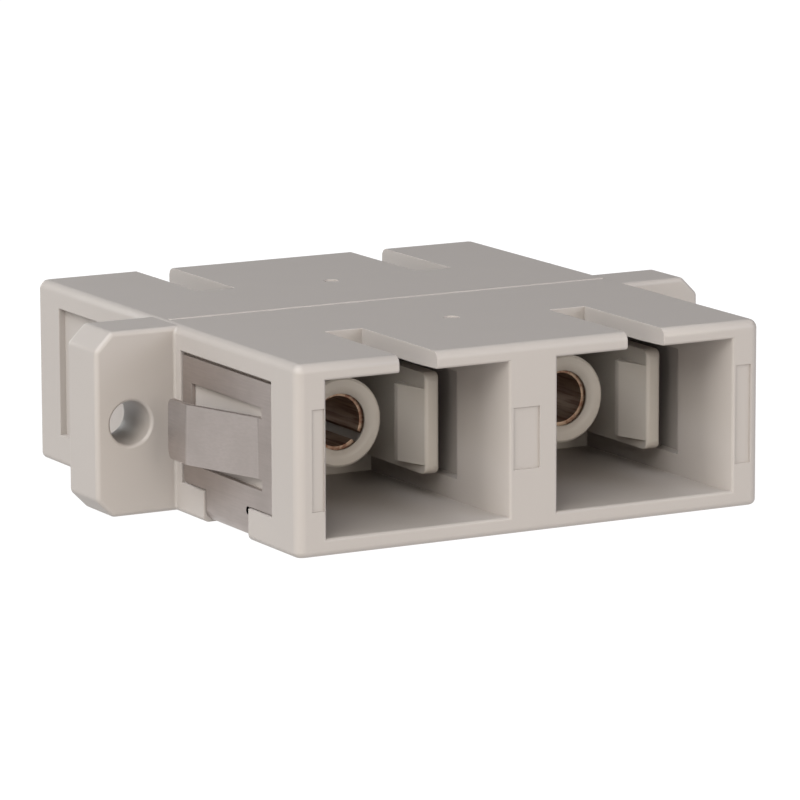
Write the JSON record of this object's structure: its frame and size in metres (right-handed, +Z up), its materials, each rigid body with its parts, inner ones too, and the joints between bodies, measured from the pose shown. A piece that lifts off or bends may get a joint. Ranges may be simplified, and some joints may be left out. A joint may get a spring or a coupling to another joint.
{
  "type": "sc duplex fibre adapter",
  "caption": "Flanged duplex SC fibre adapter: square ports with latch fingers and ferrule sleeves on both sides, and a spring-steel panel clip round the body.",
  "frame": {"origin": "centre of the flange, on the seam between the two housing halves, midway between the two ports", "axes": "+X across the ports to the right seen from the clip side, +Y from the front ports (clip side) to the rear ports, +Z up towards the key slots"},
  "size_m": [0.0346, 0.0288, 0.0094],
  "materials": {
    "housing_plastic": "fine moulded satin, warm light grey",
    "holder_plastic": "fine moulded satin, warm light grey",
    "sleeve_bronze": "phosphor bronze, drawn and slit, slightly tarnished",
    "clip_steel": "rolled stainless spring steel, satin"
  },
  "bodies": {
    "root": {"front_housing": "housing_plastic", "rear_housing": "housing_plastic", "front_left_latch_holder": "holder_plastic", "front_right_latch_holder": "holder_plastic", "rear_left_latch_holder": "holder_plastic", "rear_right_latch_holder": "holder_plastic", "left_alignment_sleeve": "sleeve_bronze", "right_alignment_sleeve": "sleeve_bronze", "panel_clip": "clip_steel"}
  },
  "joints": []
}
